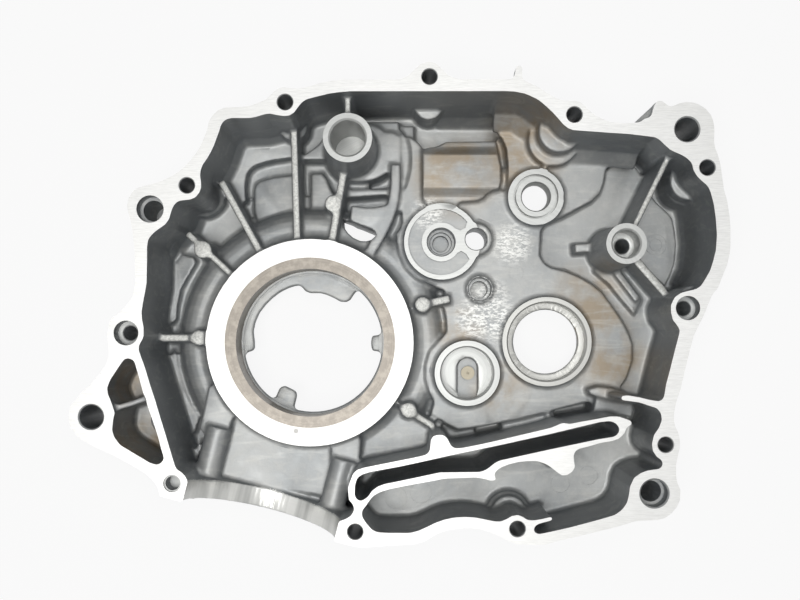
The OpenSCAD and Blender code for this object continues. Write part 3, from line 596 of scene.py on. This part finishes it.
# which faces the cutter touched, by where they lie
n = len(me.polygons)
cen = np.empty(n * 3, np.float32)
me.polygons.foreach_get("center", cen)
cen = cen.reshape(-1, 3) / MM
nor = np.empty(n * 3, np.float32)
me.polygons.foreach_get("normal", nor)
nor = nor.reshape(-1, 3)
index = np.full(n, CAST, np.int32)
up = nor[:, 2] > 0.995
ribs = [((187, 233), (236, 279), 3.1, 29.5), ((221, 181), (258.5, 249), 3.5, 30), ((293.4, 116), (297, 240), 3.5, 31),
        ((343.5, 172), (331.8, 241), 3.8, 29), ((162, 338), (206, 337.8), 3.8, 30), ((418, 306), (450, 298.5), 4, 31),
        ((400, 406), (433.5, 426.5), 3.2, 30), ((202.5, 249.5), (202.6, 249.5), 8.8, 29),
        ((333, 203.5), (333.1, 203.5), 8.2, 28.4), ((198.5, 337.8), (198.6, 337.8), 7.8, 29),
        ((422.6, 304.5), (422.7, 304.5), 7.8, 29), ((408.8, 410.5), (408.9, 410.5), 7.8, 29),
        ((347.6, 92), (347.6, 130), 2.8, 9), ((628, 240), (668, 158), 2.8, 12), ((631, 254), (664, 291.5), 3.9, 24)]
for a, b, w, d in ribs:
    p, q = np.array(at(*a, d)), np.array(at(*b, d))
    s = np.clip(((cen[:, :2] - p) @ (q - p)) / ((q - p) @ (q - p)), 0, 1)
    off = np.hypot(*(cen[:, :2] - p - s[:, None] * (q - p)).T)
    index[(off < w / 2 + 0.3) & (nor[:, 2] > 0.9) & (abs(cen[:, 2] - zd(d)) < 0.35)] = RIB
index[up & (cen[:, 2] > JOINT - 0.05)] = RIM
index[up & (abs(cen[:, 2]) < 0.05) & (np.hypot(cen[:, 0], cen[:, 1]) < 51.2)] = RING
for x, y, r, z in faces[1:]:
    d = np.hypot(cen[:, 0] - x, cen[:, 1] - y)
    index[up & (abs(cen[:, 2] - z) < 0.05) & (d < r + 1)] = GEAR_BORE if r > 20 else SMALL
for x, y, r, z0, z1, k in [(h_x, h_y, 20.1, zd(43.1), zd(36), GEAR_BORE), (h_x, h_y, 16, zd(50), zd(42), GEAR_BORE),
                           (i_x, i_y, 13.6, zd(46.6), zd(35), SMALL), (a_x, a_y, 9, zd(44), zd(3.9), SMALL),
                           (d_x, d_y, 7.1, zd(16.1), zd(1.9), SMALL), (s_x, s_y, 11.2, zd(44), zd(35.9), SMALL)]:
    d = np.hypot(cen[:, 0] - x, cen[:, 1] - y)
    index[(d < r + 0.12) & (cen[:, 2] > z0) & (cen[:, 2] < z1)] = k
c, s = math.cos(LEAN), math.sin(LEAN)
out = -cen[:, 0] * s - cen[:, 1] * c
side = cen[:, 0] * c - cen[:, 1] * s
bored = (abs(np.hypot(side, cen[:, 2] - JOINT) - 36.1) < 0.35) & (cen[:, 2] < JOINT - 0.1)
index[bored & (out > 59.6) & (out < 85)] = MOUTH
me.polygons.foreach_set("material_index", index)
me.shade_smooth()
me.set_sharp_from_angle(angle=math.radians(38))

# sleeve and jet keep their CAD shape
sleeve = nodes["main_bearing_sleeve"]
sleeve.data.materials.clear()
sleeve.data.materials.append(turned("sleeve_iron_turned", 0, 0, srgb(158, 150, 140), srgb(118, 112, 103), 0.4,
                                    stain_and_shade=sleeve_stain))
jet = nodes["oil_jet"]
jet.data.materials.clear()
jet.data.materials.append(turned("jet_metal_turned", i_x, i_y, srgb(176, 168, 148), srgb(140, 132, 114), 0.4))

# floor, world and light
BACKDROP = 0.9


def seen(tree):
    """1 for the rays that see the backdrop: camera, glossy and transmission rays"""
    lp = tree.nodes.new("ShaderNodeLightPath")
    out = lp.outputs["Is Camera Ray"]
    for name in ("Is Glossy Ray", "Is Transmission Ray"):
        n = tree.nodes.new("ShaderNodeMath")
        n.operation = "MAXIMUM"
        tree.links.new(out, n.inputs[0])
        tree.links.new(lp.outputs[name], n.inputs[1])
        out = n.outputs[0]
    return out


lo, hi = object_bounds()
floor_z = lo.z - 0.0003
floor_mesh = bpy.data.meshes.new("floor")
floor_mesh.from_pydata([(-3, -3, floor_z), (3, -3, floor_z), (3, 3, floor_z), (-3, 3, floor_z)], [], [(0, 1, 2, 3)])
floor_mesh.update()
floor = bpy.data.objects.new("floor", floor_mesh)
scene.collection.objects.link(floor)
fm = bpy.data.materials.new("floor_white")
fm.use_nodes = True
t = fm.node_tree
b = t.nodes["Principled BSDF"]
b.inputs["Base Color"].default_value = (0.86, 0.86, 0.86, 1)
b.inputs["Roughness"].default_value = 0.9
em = t.nodes.new("ShaderNodeEmission")
em.inputs["Color"].default_value = (1, 1, 1, 1)
em.inputs["Strength"].default_value = 1.0
mx = t.nodes.new("ShaderNodeMixShader")
part = t.nodes.new("ShaderNodeMath")
part.operation = "MULTIPLY"
part.inputs[1].default_value = BACKDROP
t.links.new(seen(t), part.inputs[0])
t.links.new(part.outputs[0], mx.inputs[0])
t.links.new(b.outputs[0], mx.inputs[1])
t.links.new(em.outputs[0], mx.inputs[2])
t.links.new(mx.outputs[0], t.nodes["Material Output"].inputs["Surface"])
floor.data.materials.append(fm)
floor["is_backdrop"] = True

world = bpy.data.worlds.new("studio")
scene.world = world
world.use_nodes = True
wt = world.node_tree
bg = wt.nodes["Background"]
bg.inputs[0].default_value = (0.95, 0.97, 1.0, 1)
bg.inputs[1].default_value = 0.08
white = wt.nodes.new("ShaderNodeBackground")
white.inputs[0].default_value = (1, 1, 1, 1)
white.inputs[1].default_value = 1.0
mx = wt.nodes.new("ShaderNodeMixShader")
wt.links.new(seen(wt), mx.inputs[0])
wt.links.new(bg.outputs[0], mx.inputs[1])
wt.links.new(white.outputs[0], mx.inputs[2])
wt.links.new(mx.outputs[0], wt.nodes["World Output"].inputs["Surface"])


def area(name, loc, target, size, power, colour=(1, 1, 1)):
    l = bpy.data.lights.new(name, "AREA")
    l.shape, l.size, l.energy, l.color = "DISK", size, power, colour
    o = bpy.data.objects.new(name, l)
    o.location = loc
    o.rotation_euler = (Vector(target) - Vector(loc)).to_track_quat("-Z", "Y").to_euler()
    scene.collection.objects.link(o)
    return o


area("key", (-0.10, -0.14, 0.95), (0.045, 0.0, 0), 0.34, 3.6, (1, 0.995, 0.985))
area("top", (0.12, 0.12, 1.0), (0.045, 0.0, 0), 0.4, 2.0)

scene.view_settings.view_transform = "Standard"

lo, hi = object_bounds()
